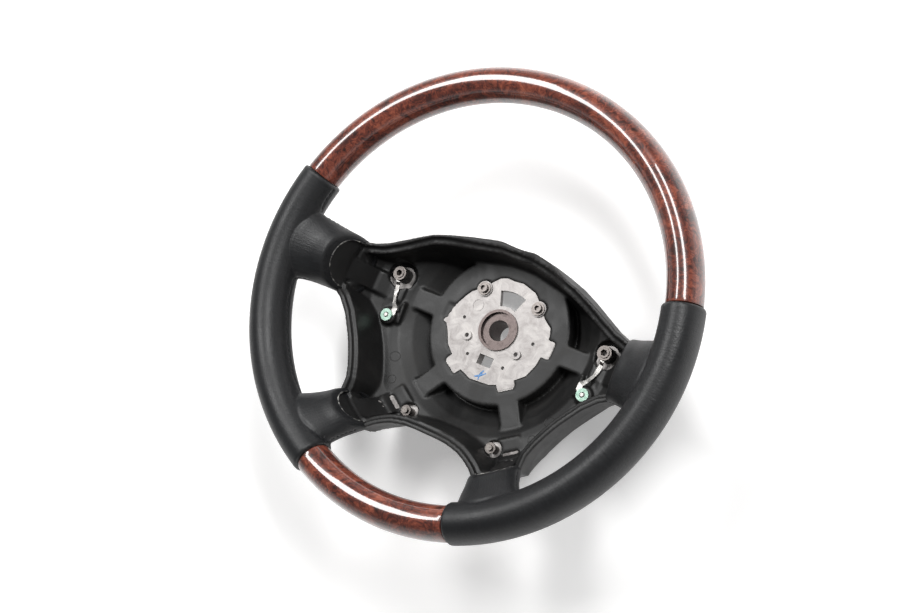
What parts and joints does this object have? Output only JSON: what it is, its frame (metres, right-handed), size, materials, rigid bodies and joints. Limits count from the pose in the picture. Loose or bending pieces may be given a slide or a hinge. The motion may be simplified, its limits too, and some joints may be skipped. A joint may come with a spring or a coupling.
{
  "type": "car steering wheel",
  "caption": "Four spoke car steering wheel with burl wood arcs and leather grips, airbag removed, showing the cast hub, horn contacts and sprung airbag posts.",
  "frame": {"origin": "centre of the hub bore in the plane of the back of the hub shell", "axes": "+Z along the steering axis towards the driver, +Y towards 12 o clock, +X to the right as the driver sees it"},
  "size_m": [0.384, 0.38, 0.1242],
  "materials": {
    "cast_alloy": "dull die casting, slightly blotched",
    "hub_steel": "machined steel, brown and dull",
    "pu_foam": "satin moulded foam skin",
    "burl_wood": "red brown burl under thick gloss lacquer",
    "leather": "black grained leather, fine cross creases",
    "black_plastic": "dull black plastic",
    "zinc_steel": "zinc plated steel",
    "tin_strip": "bright tinned spring strip",
    "green_zinc": "greenish passivated zinc"
  },
  "bodies": {
    "wheel": {"armature": "cast_alloy", "hub_insert": "hub_steel", "foam_body": "pu_foam", "wood_upper_front": "burl_wood", "wood_upper_back": "burl_wood", "wood_lower_front": "burl_wood", "wood_lower_back": "burl_wood", "leather_grip_left": "leather", "leather_grip_right": "leather", "horn_insulator_left": "black_plastic", "horn_insulator_right": "black_plastic", "horn_spring_left": "zinc_steel", "horn_spring_right": "zinc_steel", "contact_strip_left": "tin_strip", "contact_strip_right": "tin_strip", "contact_disc_left": "green_zinc", "contact_disc_right": "green_zinc", "contact_rivet_left": "zinc_steel", "contact_rivet_right": "zinc_steel", "lower_stud_left": "zinc_steel", "lower_stud_right": "zinc_steel", "stud_collar_left": "zinc_steel", "stud_collar_right": "zinc_steel", "plate_screw_left": "zinc_steel", "plate_screw_right": "zinc_steel", "plate_washer_left": "zinc_steel", "plate_washer_right": "zinc_steel"},
    "post_left": {"airbag_post_left": "zinc_steel"},
    "post_right": {"airbag_post_right": "zinc_steel"}
  },
  "joints": [
    {"name": "horn_press_left", "type": "slide", "parent": "wheel", "child": "post_left", "axis": [0, 0, -1], "range_m": [0, 0.0018], "stiffness_N_per_m": 4000, "springref_m": -0.001, "deforming": ["horn_spring_left"]},
    {"name": "horn_press_right", "type": "slide", "parent": "wheel", "child": "post_right", "axis": [0, 0, -1], "range_m": [0, 0.0018], "stiffness_N_per_m": 4000, "springref_m": -0.001, "deforming": ["horn_spring_right"]}
  ]
}
